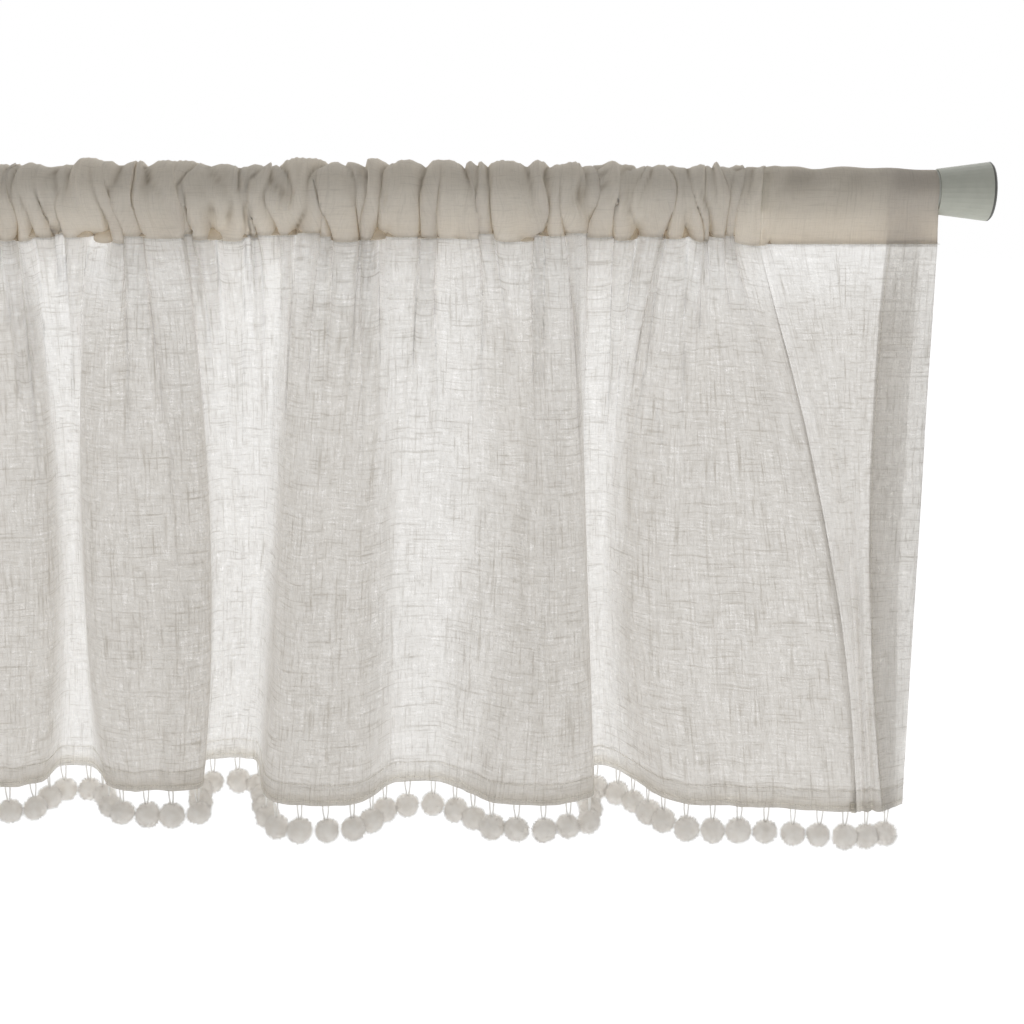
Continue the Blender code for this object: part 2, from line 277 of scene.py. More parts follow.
@dataclass
class HangingCloth:
    """The hanging shape of the linen, thread by thread, with its hems turned and its pocket over the rod."""

    columns: int = 740
    tension: float = 0.72
    pocket_radius: float = 0.0128
    stitch_gathered: float = 0.026
    stitch_flat: float = 0.0312
    hem_gathered: float = 0.385
    hem_flat: float = 0.3905
    bottom_hem: float = 0.0155
    side_hem: float = 0.033
    side_turn: float = 0.021
    side_gap: float = 0.0002
    hem_gap: float = 0.0005
    hem_rises: tuple[float, ...] = (0.0, 0.0015, 0.0035, 0.008)
    middle_rows: int = 42
    middle_spread: float = 1.35
    wall_rows: int = 6
    over_rows: int = 16
    wall_height: float = 0.3
    over_height: float = 0.9
    pocket_gap: float = 0.0006
    under_rows: int = 3
    under_step: float = 0.0035
    flat_heading: Span = (0.300, 0.335)
    wander_reach: float = 0.0050
    wander_lengths: Span = (0.055, 1.5)
    ruffle_wander: float = 1.6
    ruffle_place: float = 3.0
    soft_roll: float = 0.0011
    soft_lengths: Span = (0.045, 0.22)
    fine_roll: float = 0.00035
    fine_lengths: Span = (0.016, 0.09)
    flare_span: Span = (0.36, 0.4278)
    slack_span: Span = (0.395, 0.420)
    slack_lengths: Span = (0.035, 0.8)
    crease_lengths: Span = (0.014, 0.9)
    touch_span: Span = (0.0002, 0.0016)
    fold_shade: float = 0.30
    crest_share: float = 0.50
    right_flare: float = 0.0042
    crease_shade: float = 0.55
    pocket_shade: float = 0.03
    flat_shade: float = 0.14
    touch_shade: float = 0.12
    slack: float = 0.0026
    gathers: Gathers = field(default_factory=Gathers)
    ruffles: Gathers = field(default_factory=lambda: Gathers(seed=19, pitch=0.0128, relief=0.0042, lean=0.0034))

    def __post_init__(self) -> None:
        """Lays the threads out evenly along the flat cloth and builds the front surface."""
        self.spread_threads()
        self.set_rows()
        built = [self.row_points(*row) for row in self.rows]
        self.front = np.stack([points for points, shade in built])
        self.shade = np.stack([shade for points, shade in built])
        self.normals = self.square_to(self.front)

    def spread_threads(self) -> None:
        """Places each upright thread by its distance along the flat cloth.

        Each step of that distance is the longest of the heading's, the mid-height's and the hem's, because
        the cloth is at least that wide there.
        """
        fine = np.linspace(0, len(FOLD_LINES) - 1, 6001)
        read = {
            name: through_lines([getattr(line, name) for line in FOLD_LINES], fine, self.tension)
            for name in ("head_x", "mid_x", "hem_x", "mid_y", "hem_y")
        }
        hem_steps = np.hypot(np.diff(read["hem_x"]), np.diff(read["hem_y"]))
        mid_steps = np.hypot(np.diff(read["mid_x"]), np.diff(read["mid_y"]))
        steps = np.maximum.reduce((hem_steps, mid_steps, np.diff(read["head_x"])))
        run = np.concatenate(([0], np.cumsum(steps)))
        self.threads = np.linspace(0, run[-1], self.columns + 1)
        count = np.arange(len(FOLD_LINES))
        read["shade"] = np.interp(fine, count, [line.shade for line in FOLD_LINES])
        read["tuck"] = np.interp(fine, count, [line.name == "pleat tuck" for line in FOLD_LINES])
        self.lines = {name: np.interp(self.threads, run, values) for name, values in read.items()}
        self.head_x = np.maximum.accumulate(self.lines["head_x"])
        flat = eased(self.head_x, *self.flat_heading)
        self.stitch_z = -(self.stitch_gathered + (self.stitch_flat - self.stitch_gathered) * flat)
        self.hem_z = -(self.hem_gathered + (self.hem_flat - self.hem_gathered) * flat)
        self.held = self.gathers.held(self.head_x)

    def set_rows(self) -> None:
        """Lists the rows of the cloth's outer face: from the hem up, over the rod and down the back."""
        body = self.hem_gathered - self.stitch_gathered
        low = [1 - rise / body for rise in (*self.hem_rises, self.bottom_hem)]
        high = 1 - self.bottom_hem / body
        steps = range(1, self.middle_rows)
        middle = [high * (1 - step / self.middle_rows) ** self.middle_spread for step in steps] + [0.0]
        body_rows = [("body", share) for share in low + middle]
        wall = np.linspace(0, 1, self.wall_rows + 1)
        front = [("front", share) for share in wall[:-1]]
        over = [("over", share) for share in np.linspace(0, 1, self.over_rows + 1)]
        back = [("back", share) for share in wall[1:]]
        self.rows = body_rows + front + over + back
        self.body_count = len(body_rows)

    def wander(self, height: float) -> np.ndarray:
        """How far the creases have drifted along the rod at this height on the pocket."""
        level = np.full_like(self.head_x, height)
        return self.wander_reach * waves(31, self.head_x, level, self.wander_lengths)

    def flare(self) -> np.ndarray:
        """How far the right end of the cloth stands out past its heading."""
        return self.right_flare * eased(self.head_x, *self.flare_span)

    def row_points(self, kind: str, share: float) -> tuple[np.ndarray, np.ndarray]:
        """Points along one row.

        Args:
            kind: body, front, over or back.
            share: how far through that stretch the row lies.

        Returns:
            One point for each thread, and how much light each place keeps, from 0 to 1.
        """
        if kind == "body":
            return self.body_points(share)
        return self.pocket_points(kind, share)

    def body_points(self, share: float) -> tuple[np.ndarray, np.ndarray]:
        """Points along a row of the body.

        Args:
            share: how far down the row lies, from 0 at the stitch line to 1 at the hem.

        Returns:
            One point for each thread, and how much light each place keeps, from 0 to 1.
        """
        lines = self.lines
        near, far = 2 * (share - 0.5) * (share - 1), 2 * share * (share - 0.5)
        middle = 4 * share * (1 - share)
        x = near * self.head_x + middle * lines["mid_x"] + far * lines["hem_x"]
        y = middle * lines["mid_y"] + far * lines["hem_y"]
        z = self.stitch_z + (self.hem_z - self.stitch_z) * share
        gather = self.gathers.read(self.head_x + self.wander(-share))
        fade = self.gathers.left_at(gather, share) * self.held
        y = y - self.gathers.depth * gather["size"] * (gather["pillow"] - 0.5) * fade
        x = x + self.gathers.sideways(gather) * fade
        z = z - self.gathers.droop * gather["droop"] * gather["pillow"] * fade
        level = np.full_like(self.threads, z.mean())
        soft = waves(11, self.threads, level, self.soft_lengths)
        fine = waves(12, self.threads, level, self.fine_lengths)
        rise = eased(share, 0.02, 0.25)
        x = x + self.flare() * near
        folded = eased(lines["shade"], 0.15, 0.85) * eased(share, 0, 0.16)
        crest = eased(gather["pillow"] * gather["size"], 0.35, 0.80) * fade
        shade = 1 - self.fold_shade * np.maximum(folded * (1 - 0.5 * fade), self.crest_share * crest)
        y = y + (self.soft_roll * soft + self.fine_roll * fine) * rise
        return np.column_stack((x, y, z)), shade

    def pocket_points(self, kind: str, share: float) -> tuple[np.ndarray, np.ndarray]:
        """Points along a row of the pocket, which runs up the front, over the rod and down the back.

        Args:
            kind: front, over or back.
            share: how far through that stretch the row lies.

        Returns:
            One point for each thread, and how much light each place keeps, from 0 to 1.
        """
        radius = self.pocket_radius
        start = np.arccos(np.clip(radius / -self.stitch_z, 0, 1))
        wall, over = self.wall_height, self.over_height
        heights = {"front": wall * share, "over": wall + over * share, "back": wall + over + wall * share}
        height = heights[kind]
        gather = self.gathers.read(self.head_x + self.wander(height))
        ruffle_x = self.head_x + self.ruffle_wander * self.wander(height + self.ruffle_place)
        ruffle = self.ruffles.read(ruffle_x)
        whole = 2 * wall + over
        top = float(eased(2 * min(height, max(whole - height, 0.0)) / whole, 0.25, 0.95))
        level_x = np.full_like(self.head_x, height)
        kept = np.clip(0.72 + 0.45 * waves(51, self.head_x, level_x, self.crease_lengths), 0.15, 1)
        pillow = 1 - (1 - gather["pillow"]) * kept
        low_lift = pillow * gather["size"] * self.gathers.relief * (1 - 0.7 * top)
        high_lift = ruffle["crest"] * ruffle["ruffle"] * self.ruffles.relief * (0.15 + 0.85 * top)
        crimp = waves(41, self.head_x, level_x, (self.gathers.crimp_pitch, 0.9))
        fine_lift = self.gathers.crimp * (0.5 + 0.5 * np.tanh(1.5 * crimp))
        slack = 0.5 + 0.5 * np.tanh(waves(61, self.head_x, level_x, self.slack_lengths, 5))
        loose = self.slack * slack * (1 - self.held)
        loose = loose * (1 - eased(self.head_x, *self.slack_span))
        lift = (low_lift + high_lift + fine_lift) * self.held + loose
        turned = radius + lift
        ruffle_lean = self.ruffles.lean * ruffle["lean"] * ruffle["crest"]
        x = self.head_x + (self.gathers.sideways(gather) * (1 - top) + ruffle_lean * top) * self.held
        hollow = (1 - pillow) ** 2 * (1 - 0.8 * top) + (1 - ruffle["crest"]) ** 4 * top
        shade = 1 - self.pocket_shade - self.crease_shade * np.clip(hollow, 0, 1) * self.held
        shade = shade - self.flat_shade * (1 - self.held)
        touching = 1 - eased(lift, *self.touch_span)
        shade = shade - self.touch_shade * touching * float(eased(height, wall, 0.5))
        if kind == "over":
            turn = start + 2 * (math.pi - start) * share
            return np.column_stack((x, -turned * np.sin(turn), -turned * np.cos(turn))), shade
        level, side = (share, -1.0) if kind == "front" else (1 - share, 1.0)
        x = x + self.flare() * (1 - level)
        low_y = -self.gathers.depth * gather["size"] * (gather["pillow"] - 0.5) * self.held
        if kind == "back":
            low_y = low_y + 2 * self.pocket_gap
        low_z = self.stitch_z - self.gathers.droop * gather["droop"] * gather["pillow"] * self.held
        rounded = 0.65 * level + 0.35 * float(eased(level, 0, 1))
        y = low_y + (side * turned * np.sin(start) - low_y) * rounded
        z = low_z + (-turned * np.cos(start) - low_z) * level
        return np.column_stack((x, y, z)), shade

    @staticmethod
    def square_to(points: np.ndarray) -> np.ndarray:
        """The outward direction at every point of a grid, which is towards the room on the body."""
        along = np.gradient(points, axis=1)
        up = np.gradient(points, axis=0)
        normal = np.cross(along, up)
        return normal / np.maximum(np.linalg.norm(normal, axis=2, keepdims=True), 1e-12)

    def turned_rows(self) -> list[tuple[int, float, float]]:
        """Rows of the whole cut cloth as (front row, distance behind it, distance along the cut)."""
        heights = [0.0]
        middle = self.front[:, self.columns // 2]
        for step in np.linalg.norm(np.diff(middle, axis=0), axis=1):
            heights.append(heights[-1] + float(step))
        turned = [(row, self.hem_gap, -heights[row]) for row in range(len(self.hem_rises), -1, -1)]
        front = [(row, 0.0, heights[row]) for row in range(len(self.rows))]
        last = len(self.rows) - 1
        steps, top = range(self.under_rows), heights[last]
        under = [(last - step, self.pocket_gap, top + self.under_step * step) for step in steps]
        return turned + front + under

    def turned_columns(self) -> list[tuple[int, float, float]]:
        """Columns of the whole cut cloth as (thread, distance behind it, distance along the cut)."""
        pitch = self.threads[1]
        wide, turn, last = round(self.side_hem / pitch), round(self.side_turn / pitch), self.columns
        near, far = self.side_gap, 2 * self.side_gap
        out = [(i, near, (-2 * wide + i) * pitch) for i in range(wide - turn, wide + 1)]
        out += [(i, far, -i * pitch) for i in range(wide, -1, -1)]
        out += [(i, 0.0, i * pitch) for i in range(last + 1)]
        out += [(last - i, far, (last + i) * pitch) for i in range(wide + 1)]
        out += [(last - i, near, (last + 2 * wide - i) * pitch) for i in range(wide, wide - turn - 1, -1)]
        return out

    def at(self, rise: float, behind: float) -> np.ndarray:
        """The row that lies this far above the hem's edge, moved behind the front face.

        Args:
            rise: the height above the edge, in metres.
            behind: the distance behind the front face, in metres.

        Returns:
            One point for each thread.
        """
        body = self.hem_gathered - self.stitch_gathered
        shares = np.array([share for kind, share in self.rows[: self.body_count]])
        want = 1 - rise / body
        upper = int(np.argmax(shares <= want))
        lower = max(upper - 1, 0)
        gap = shares[lower] - shares[upper]
        mix = 0.0 if gap < 1e-9 else (shares[lower] - want) / gap
        place = self.front[lower] * (1 - mix) + self.front[upper] * mix
        return place - self.normals[lower] * behind

    @staticmethod
    def evenly(row: np.ndarray, pitch: float) -> tuple[np.ndarray, np.ndarray]:
        """Steady steps along a row.

        Args:
            row: the points of the row.
            pitch: the distance between steps.

        Returns:
            The points, and the direction of the row at each.
        """
        run = np.concatenate(([0], np.cumsum(np.linalg.norm(np.diff(row, axis=0), axis=1))))
        count = int(run[-1] // pitch)
        places = (run[-1] - count * pitch) / 2 + pitch * (np.arange(count) + 0.5)

        def read(at: np.ndarray) -> np.ndarray:
            """The points at these distances along the row."""
            return np.column_stack([np.interp(at, run, row[:, axis]) for axis in range(3)])

        direction = read(places + 1 * MM) - read(places - 1 * MM)
        return read(places), direction / np.linalg.norm(direction, axis=1)[:, None]


class Graph:
    """Adds nodes to one tree and joins them."""

    def __init__(self, tree: bpy.types.NodeTree) -> None:
        """Keeps the tree."""
        self.tree = tree

    def add(self, kind: str, inputs: dict[Any, Any] | None = None, **settings: Any) -> bpy.types.Node:
        """Adds one node.

        Args:
            kind: the node's type.
            inputs: for each input, a value or the socket that feeds it.
            settings: the node's own properties.

        Returns:
            The node.
        """
        node = self.tree.nodes.new(kind)
        for name, value in settings.items():
            setattr(node, name, value)
        for name, value in (inputs or {}).items():
            if isinstance(value, bpy.types.NodeSocket):
                self.tree.links.new(value, node.inputs[name])
            else:
                node.inputs[name].default_value = value
        return node

    def maths(self, operation: str, *values: Any) -> bpy.types.NodeSocket:
        """A Math node's result."""
        return self.add("ShaderNodeMath", dict(enumerate(values)), operation=operation).outputs[0]

    def span(
        self, value: Any, low: float, high: float, to_low: float = 0.0, to_high: float = 1.0
    ) -> bpy.types.NodeSocket:
        """A value eased from low..high to to_low..to_high."""
        inputs = {"Value": value, "From Min": low, "From Max": high, "To Min": to_low, "To Max": to_high}
        return self.add("ShaderNodeMapRange", inputs, interpolation_type="SMOOTHSTEP").outputs["Result"]

    def blend(self, share: Any, first: Any, second: Any) -> bpy.types.NodeSocket:
        """A colour mixed from two."""
        padded = [(*c, 1.0) if isinstance(c, tuple) else c for c in (first, second)]
        node = self.add("ShaderNodeMix", {0: share, 6: padded[0], 7: padded[1]}, data_type="RGBA")
        return node.outputs[2]

    def tinted(self, colour: Any, shade_tint: Any) -> bpy.types.NodeSocket:
        """Multiplies a colour by another, which in this script is always a painted shade."""
        return self.add("ShaderNodeVectorMath", {0: colour, 1: shade_tint}, operation="MULTIPLY").outputs[0]

    def noise(
        self, vector: Any, scale: float, detail: float = 2.0, roughness: float = 0.5
    ) -> bpy.types.NodeSocket:
        """A noise value."""
        inputs = {"Vector": vector, "Scale": scale, "Detail": detail, "Roughness": roughness}
        return self.add("ShaderNodeTexNoise", inputs).outputs["Fac"]


def set_inputs(node: bpy.types.Node, values: dict[str, Any]) -> None:
    """Sets constants on a node's own sockets."""
    for name, value in values.items():
        node.inputs[name].default_value = value


def shader_group(name: str, inputs: dict[str, Any], outputs: Sequence[str]) -> tuple[Graph, dict, dict]:
    """Starts a shader node group with named sockets.

    Args:
        name: the group's name.
        inputs: each input's name and its value, or None for a vector.
        outputs: the names of its value outputs.

    Returns:
        The graph, its input sockets by name, and the sockets to feed its outputs.
    """
    tree = bpy.data.node_groups.new(name, "ShaderNodeTree")
    for label, value in inputs.items():
        kind = "NodeSocketVector" if value is None else "NodeSocketFloat"
        socket = tree.interface.new_socket(label, in_out="INPUT", socket_type=kind)
        if value is not None:
            socket.default_value = value
    for label in outputs:
        tree.interface.new_socket(label, in_out="OUTPUT", socket_type="NodeSocketFloat")
    graph = Graph(tree)
    start, end = graph.add("NodeGroupInput"), graph.add("NodeGroupOutput")
    given = {label: start.outputs[label] for label in inputs}
    return graph, given, {label: end.inputs[label] for label in outputs}


def weave_group() -> bpy.types.NodeTree:
    """A plain weave of uneven, slubby threads: a mask of heavy threads, a mask of gaps, and a height."""
    graph, given, out = shader_group(
        "slub_weave",
        {"Vector": None, "Pitch": 0.0008, "Slub length": 0.03, "Wander": 0.0007},
        ("Heavy", "Gap", "Height"),
    )
    heavy_span, open_span, patch_span = (0.565, 0.72), (0.50, 0.34), (0.36, 0.66)
    drift_scale, patch_scale, crossing_share = 42.0, 55.0, 0.4
    inputs = {"Vector": given["Vector"], "Scale": drift_scale, "Detail": 1.0}
    drift = graph.add("ShaderNodeTexNoise", inputs).outputs["Color"]
    drift = graph.add("ShaderNodeVectorMath", {0: drift, 1: (0.5, 0.5, 0.5)}, operation="SUBTRACT").outputs[0]
    drift = graph.add("ShaderNodeVectorMath", {0: drift, 3: given["Wander"]}, operation="SCALE").outputs[0]
    moved = graph.add("ShaderNodeVectorMath", {0: given["Vector"], 1: drift}, operation="ADD").outputs[0]
    parts = graph.add("ShaderNodeSeparateXYZ", {0: moved})
    fine = [graph.maths("DIVIDE", parts.outputs[axis], given["Pitch"]) for axis in (0, 1)]
    slow = [graph.maths("DIVIDE", parts.outputs[axis], given["Slub length"]) for axis in (0, 1)]
    threads = []
    for across, along, layer in ((fine[0], slow[1], 3.7), (slow[0], fine[1], 9.1)):
        place = graph.add("ShaderNodeCombineXYZ", {0: across, 1: along, 2: layer}).outputs[0]
        threads.append(graph.noise(place, 1.0, 1.5, 0.45))
    heavy = [graph.span(thread, *heavy_span) for thread in threads]
    open_ = [graph.span(thread, *open_span) for thread in threads]
    patch = graph.span(graph.noise(given["Vector"], patch_scale, 3.0, 0.6), *patch_span)
    both = graph.maths("MAXIMUM", *heavy)
    crossing = graph.maths("MULTIPLY", graph.maths("MULTIPLY", *open_), crossing_share)
    gap = graph.maths("MULTIPLY_ADD", graph.maths("ADD", *open_), 0.5, crossing)
    links = graph.tree.links
    links.new(graph.maths("MULTIPLY", both, graph.span(patch, 0, 1, 0.55, 1.0)), out["Heavy"])
    links.new(graph.maths("MULTIPLY", gap, graph.span(patch, 0, 1, 0.9, 0.55)), out["Gap"])
    links.new(graph.maths("ADD", *threads), out["Height"])
    return graph.tree


def grain_group() -> bpy.types.NodeTree:
    """Fine unevenness over a soft or moulded surface: a coarse mask, a fine mask and a height."""
    outputs = ("Coarse", "Fine", "Height")
    graph, given, out = shader_group("surface_grain", {"Vector": None, "Size": 0.001}, outputs)
    inputs = {0: given["Vector"], 1: given["Size"]}
    place = graph.add("ShaderNodeVectorMath", inputs, operation="DIVIDE").outputs[0]
    coarse, fine = graph.noise(place, 0.22, 3.0), graph.noise(place, 1.0, 4.0, 0.6)
    graph.tree.links.new(graph.span(coarse, *MIDDLE), out["Coarse"])
    graph.tree.links.new(graph.span(fine, *MIDDLE), out["Fine"])
    graph.tree.links.new(graph.maths("ADD", coarse, fine), out["Height"])
    return graph.tree


@dataclass(frozen=True)
class Groups:
    """The shader groups that the finishes share."""

    weave: bpy.types.NodeTree
    grain: bpy.types.NodeTree

    def grain_on(self, graph: Graph, place: bpy.types.NodeSocket, size: float) -> Any:
        """Places the shared grain once, at this size, and gives its outputs."""
        node = graph.add("ShaderNodeGroup", node_tree=self.grain)
        graph.tree.links.new(place, node.inputs["Vector"])
        set_inputs(node, {"Size": size})
        return node.outputs


def new_material(name: str) -> tuple[bpy.types.Material, Graph, bpy.types.Node]:
    """A material with its graph and its Principled node."""
    material = bpy.data.materials.new(name)
    material.use_nodes = True
    surface = material.node_tree.nodes["Principled BSDF"]
    return material, Graph(material.node_tree), surface


def see_through(graph: Graph, surface: bpy.types.Node, colour: Any, normal: Any, share: float) -> None:
    """Lets part of the light through a thin material.

    Args:
        graph: the material's graph.
        surface: its Principled node.
        colour: the colour of the light that comes through.
        normal: the bumped normal.
        share: how much of the surface lets light through.
    """
    through = graph.add("ShaderNodeBsdfTranslucent", {"Color": colour, "Normal": normal})
    mixed = graph.add("ShaderNodeMixShader", {0: share, 1: surface.outputs[0], 2: through.outputs[0]})
    graph.tree.links.new(mixed.outputs[0], graph.tree.nodes["Material Output"].inputs["Surface"])


@dataclass(frozen=True)
class LinenFinish:
    """Semi-sheer slub linen: pale threads, heavier warm ones, gaps that let light through, and painted shade."""

    name: str = "slub_linen_weave"
    thread: Colour = (0.810, 0.785, 0.745)
    shadow: Colour = (0.300, 0.240, 0.160)
    heavy: Colour = (0.660, 0.635, 0.590)
    lit: Colour = (0.900, 0.895, 0.885)
    lit_heavy: Colour = (0.545, 0.525, 0.495)
    pitch: float = 0.00090
    slub_length: float = 0.009
    long_pitch: float = 0.00150
    long_slub: float = 0.040
    openness: float = 0.42
    calm_share: float = 0.40
    # Painted shade: the two doubled tints below warm and darken the pocket's doubled cloth, standing in for light
    # filtered through its layers.
    doubled_shade_tint: Colour = (1.0, 0.985, 0.960)
    doubled_lit_shade_tint: Colour = (0.97, 0.880, 0.745)
    through: float = 0.42
    wander: float = 0.0018
    heavy_shares: Span = (0.62, 0.75)
    gap_shares: Span = (0.80, 0.35)
    height_share: float = 0.6
    bump: float = 0.35
    tone_scale: float = 14.0
    tone_low: float = 0.96
    hole_open: float = 0.8
    hole_line: float = 0.0034
    hole_pitch: float = 0.0034
    hole_radius: float = 0.0005

    def holes(self, graph: Graph, place: bpy.types.NodeSocket) -> bpy.types.NodeSocket:
        """The needle holes along the trim's stitch line, as a mask."""
        parts = graph.add("ShaderNodeSeparateXYZ", {0: place})
        along = graph.maths("PINGPONG", parts.outputs[0], self.hole_pitch / 2)
        away = graph.maths("SUBTRACT", parts.outputs[1], self.hole_line)
        squares = [graph.maths("POWER", distance, 2.0) for distance in (along, away)]
        far = graph.maths("SQRT", graph.maths("ADD", *squares))
        return graph.span(far, self.hole_radius, self.hole_radius * 0.4)

    def weave(
        self, graph: Graph, groups: Groups, place: Any, pitch: float, slub: float
    ) -> dict[str, bpy.types.NodeSocket]:
        """Places the shared weave once.

        Args:
            graph: the material's graph.
            groups: the shared shader groups.
            place: where on the cut cloth, in metres.
            pitch: the distance between threads.
            slub: the length of a thread's thick and thin stretches.

        Returns:
            The weave's outputs by name.
        """
        node = graph.add("ShaderNodeGroup", node_tree=groups.weave)
        graph.tree.links.new(place, node.inputs["Vector"])
        set_inputs(node, {"Pitch": pitch, "Slub length": slub, "Wander": self.wander})
        return {name: node.outputs[name] for name in ("Heavy", "Gap", "Height")}

    def material(self, groups: Groups) -> bpy.types.Material:
        """Builds the material.

        Args:
            groups: the shared shader groups.

        Returns:
            The material.
        """
        material, graph, surface = new_material(self.name)
        place = graph.add("ShaderNodeUVMap", uv_map="cut").outputs[0]
        fine = self.weave(graph, groups, place, self.pitch, self.slub_length)
        long = self.weave(graph, groups, place, self.long_pitch, self.long_slub)
        fine_share, long_share = self.heavy_shares
        heavy = graph.maths("MULTIPLY", long["Heavy"], long_share)
        heavy = graph.maths("MULTIPLY_ADD", fine["Heavy"], fine_share, heavy)
        doubled = graph.add("ShaderNodeAttribute", attribute_name="doubled").outputs["Fac"]
        calm = graph.span(doubled, 0, 1, 1.0, self.calm_share)
        heavy = graph.maths("MULTIPLY", graph.maths("MINIMUM", heavy, 1.0), calm)
        fine_share, long_share = self.gap_shares
        gap = graph.maths("MULTIPLY", long["Gap"], long_share)
        gap = graph.maths("MULTIPLY", graph.maths("MULTIPLY_ADD", fine["Gap"], fine_share, gap), calm)
        height = graph.maths("MULTIPLY_ADD", long["Height"], self.height_share, fine["Height"])
        inputs = {"Height": height, "Strength": self.bump, "Distance": BUMP_DEPTH}
        bump = graph.add("ShaderNodeBump", inputs).outputs[0]
        holes = graph.maths("MULTIPLY", self.holes(graph, place), self.hole_open)
        opened = graph.maths("MAXIMUM", graph.maths("MULTIPLY", gap, self.openness), holes)
        cover = graph.add("ShaderNodeAttribute", attribute_name="cover").outputs["Fac"]
        alpha = graph.maths("MULTIPLY", graph.maths("SUBTRACT", 1.0, opened), cover)
        tone = graph.span(graph.noise(place, self.tone_scale, 2.0), *MIDDLE)
        shade = graph.add("ShaderNodeAttribute", attribute_name="shade").outputs["Fac"]
        darker = tuple(self.tone_low * channel for channel in self.thread)
        base = graph.blend(heavy, graph.blend(tone, self.thread, darker), self.heavy)
        white = (1.0, 1.0, 1.0)
        # Painted shade: the shade attribute mixes the colour towards the shadow colour, and doubled cloth gets a
        # warm painted shade tint.
        shade_tint = graph.blend(doubled, white, self.doubled_shade_tint)
        base = graph.tinted(graph.blend(shade, self.shadow, base), shade_tint)
        links = graph.tree.links
        links.new(base, surface.inputs["Base Color"])
        links.new(alpha, surface.inputs["Alpha"])
        links.new(bump, surface.inputs["Normal"])
        gloss = {"Roughness": 0.92, "Sheen Weight": 0.12, "Sheen Roughness": 0.6, "Specular IOR Level": 0.2}
        set_inputs(surface, gloss)
        lit = graph.blend(shade, self.shadow, graph.blend(heavy, self.lit, self.lit_heavy))
        # The light that comes through the doubled cloth gets the same warm painted shade.
        lit = graph.tinted(lit, graph.blend(doubled, white, self.doubled_lit_shade_tint))
        see_through(graph, surface, lit, bump, self.through)
        return material


@dataclass(frozen=True)
class YarnFinish:
    """Soft white yarn or thread, a little see-through."""

    name: str
    colour: Colour
    shade: Colour
    through: float
    grain: float
    cover: float = 1.0

    def material(self, groups: Groups) -> bpy.types.Material:
        """Builds the material.

        Args:
            groups: the shared shader groups.

        Returns:
            The material.
        """
        material, graph, surface = new_material(self.name)
        place = graph.add("ShaderNodeTexCoord").outputs["Object"]
        grain = groups.grain_on(graph, place, self.grain)
        colour = graph.blend(grain["Coarse"], self.shade, self.colour)
        inputs = {"Height": grain["Height"], "Strength": 0.4, "Distance": BUMP_DEPTH}
        bump = graph.add("ShaderNodeBump", inputs).outputs[0]
        graph.tree.links.new(colour, surface.inputs["Base Color"])
        graph.tree.links.new(bump, surface.inputs["Normal"])
        gloss = {"Roughness": 0.95, "Sheen Weight": 0.25, "Specular IOR Level": 0.15}
        set_inputs(surface, {"Alpha": self.cover, **gloss})
        see_through(graph, surface, colour, bump, self.through)
        return material


@dataclass(frozen=True)
class HardFinish:
    """A painted or moulded surface with a faint grain, and a darker ring along a cap's rim.

    rim_from is how far out along the rod the ring starts. At 1 m, past every end, there is none.
    """

    name: str
    colour: Colour
    worn: Colour
    roughness: float
    grain: float
    bump: float
    rim_from: float = 1.0
    rim_radius: float = 0.0150
    rim_blur: float = 0.0004
    rim_colour: Colour = (0.10, 0.10, 0.09)

    def material(self, groups: Groups) -> bpy.types.Material:
        """Builds the material.

        Args:
            groups: the shared shader groups.

        Returns:
            The material.
        """
        material, graph, surface = new_material(self.name)
        place = graph.add("ShaderNodeTexCoord").outputs["Object"]
        grain = groups.grain_on(graph, place, self.grain)
        parts = graph.add("ShaderNodeSeparateXYZ", {0: place}).outputs
        squares = [graph.maths("POWER", parts[axis], 2.0) for axis in (1, 2)]
        away = graph.maths("SQRT", graph.maths("ADD", *squares))
        rim = graph.maths(
            "MULTIPLY",
            graph.span(graph.maths("ABSOLUTE", parts[0]), self.rim_from - self.rim_blur, self.rim_from),
            graph.span(away, self.rim_radius - self.rim_blur, self.rim_radius),
        )
        body = graph.blend(grain["Coarse"], self.worn, self.colour)
        graph.tree.links.new(graph.blend(rim, body, self.rim_colour), surface.inputs["Base Color"])
        rough = graph.span(grain["Fine"], 0, 1, self.roughness - 0.05, self.roughness + 0.07)
        graph.tree.links.new(rough, surface.inputs["Roughness"])
        inputs = {"Height": grain["Height"], "Strength": self.bump, "Distance": 0.0001}
        graph.tree.links.new(graph.add("ShaderNodeBump", inputs).outputs[0], surface.inputs["Normal"])
        return material


def plain_mesh(
    name: str, points: np.ndarray, faces: Sequence[Sequence[int]], smooth: bool = True
) -> bpy.types.Object:
    """Makes a mesh object at the origin.

    Args:
        name: the object's name.
        points: its vertices.
        faces: its faces, or its edges when each has two corners.
        smooth: whether it is smooth shaded.

    Returns:
        The object, linked to the scene.
    """
    mesh = bpy.data.meshes.new(name)
    edges = [tuple(face) for face in faces if len(face) == 2]
    mesh.from_pydata([tuple(p) for p in points], edges, [tuple(face) for face in faces if len(face) > 2])
    if smooth and not edges:
        mesh.shade_smooth()
    thing = bpy.data.objects.new(name, mesh)
    bpy.context.scene.collection.objects.link(thing)
    return thing


def grid_faces(rows: int, columns: int) -> list[tuple[int, int, int, int]]:
    """Quads over a grid of rows by columns points, numbered row by row."""
    return [
        (r * columns + c, r * columns + c + 1, (r + 1) * columns + c + 1, (r + 1) * columns + c)
        for r in range(rows - 1)
        for c in range(columns - 1)
    ]


def add_cut_map(thing: bpy.types.Object, places: np.ndarray) -> None:
    """Gives a grid mesh its UV map, in metres along the cut cloth."""
    layer = thing.data.uv_layers.new(name="cut")
    corners = np.zeros(len(thing.data.loops), np.int32)
    thing.data.loops.foreach_get("vertex_index", corners)
    layer.data.foreach_set("uv", places[corners].astype(np.float32).ravel())


